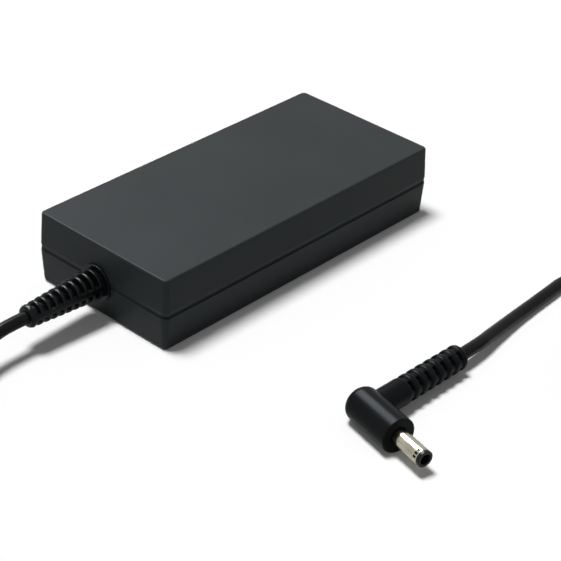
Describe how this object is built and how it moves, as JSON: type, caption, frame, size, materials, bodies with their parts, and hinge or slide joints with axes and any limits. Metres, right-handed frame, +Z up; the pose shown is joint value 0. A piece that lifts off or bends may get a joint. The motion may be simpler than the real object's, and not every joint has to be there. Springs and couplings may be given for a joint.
{
  "type": "laptop power adapter",
  "caption": "Slim two-shell power adapter with a mains inlet at one end and a captive low-voltage cord that ends in a right-angle barrel plug.",
  "frame": {"origin": "middle of the case's underside", "axes": "+X along the case towards the mains inlet, with the cord leaving at -X; +Z up out of the top face"},
  "size_m": [0.2758, 0.2349, 0.0284],
  "materials": {
    "case_plastic": "fine matt grain",
    "inlet_plastic": "smooth",
    "nickel_plate": "bright nickel",
    "board_laminate": "solder mask",
    "bare_aluminium": "mill finish",
    "insulating_film": "thin film",
    "thermal_silicone": "soft pad",
    "brown_epoxy": "moulded",
    "blue_epoxy": "dipped",
    "black_epoxy": "moulded",
    "yellow_box": "moulded box",
    "green_ferrite": "coated ring",
    "copper_wire": "enamelled wire",
    "grey_ferrite": "sintered",
    "capacitor_sleeve": "shrunk sleeve",
    "yellow_tape": "wound tape",
    "red_box": "moulded box",
    "white_epoxy": "moulded",
    "lead_insulation": "smooth insulation",
    "relief_rubber": "soft moulded",
    "cord_jacket": "smooth jacket",
    "tie_plastic": "flat strap",
    "plug_moulding": "soft moulded",
    "plug_nose": "hard moulded"
  },
  "bodies": {
    "root": {"upper_case": "case_plastic", "lower_case": "case_plastic", "inlet_housing": "inlet_plastic", "inlet_blades": "nickel_plate", "circuit_board": "board_laminate", "lower_heat_spreader": "bare_aluminium", "upper_heat_spreader": "bare_aluminium", "lower_insulating_sheet": "insulating_film", "upper_insulating_sheet": "insulating_film", "thermal_pads": "thermal_silicone", "fuse": "brown_epoxy", "varistor": "blue_epoxy", "thermistor": "black_epoxy", "x_capacitor": "yellow_box", "y_capacitors": "blue_epoxy", "mains_choke_core": "green_ferrite", "mains_choke_windings": "copper_wire", "bridge_rectifier": "black_epoxy", "boost_inductor_core": "grey_ferrite", "boost_inductor_winding": "copper_wire", "bulk_capacitor": "capacitor_sleeve", "switching_transistors": "black_epoxy", "primary_heat_sink": "bare_aluminium", "transformer_core": "grey_ferrite", "transformer_bobbin": "inlet_plastic", "transformer_winding": "yellow_tape", "resonant_capacitor": "red_box", "optocoupler": "white_epoxy", "control_chip": "black_epoxy", "output_rectifiers": "black_epoxy", "secondary_heat_sink": "bare_aluminium", "output_capacitors": "capacitor_sleeve", "output_inductor": "copper_wire", "output_leads": "lead_insulation", "cord_strain_relief": "relief_rubber", "output_cord_near": "cord_jacket", "cord_coil": "cord_jacket", "coil_tie": "tie_plastic", "output_cord_far": "cord_jacket", "plug_moulding": "plug_moulding", "plug_barrel": "nickel_plate", "plug_insulator": "plug_nose", "plug_contact": "nickel_plate"}
  },
  "joints": []
}
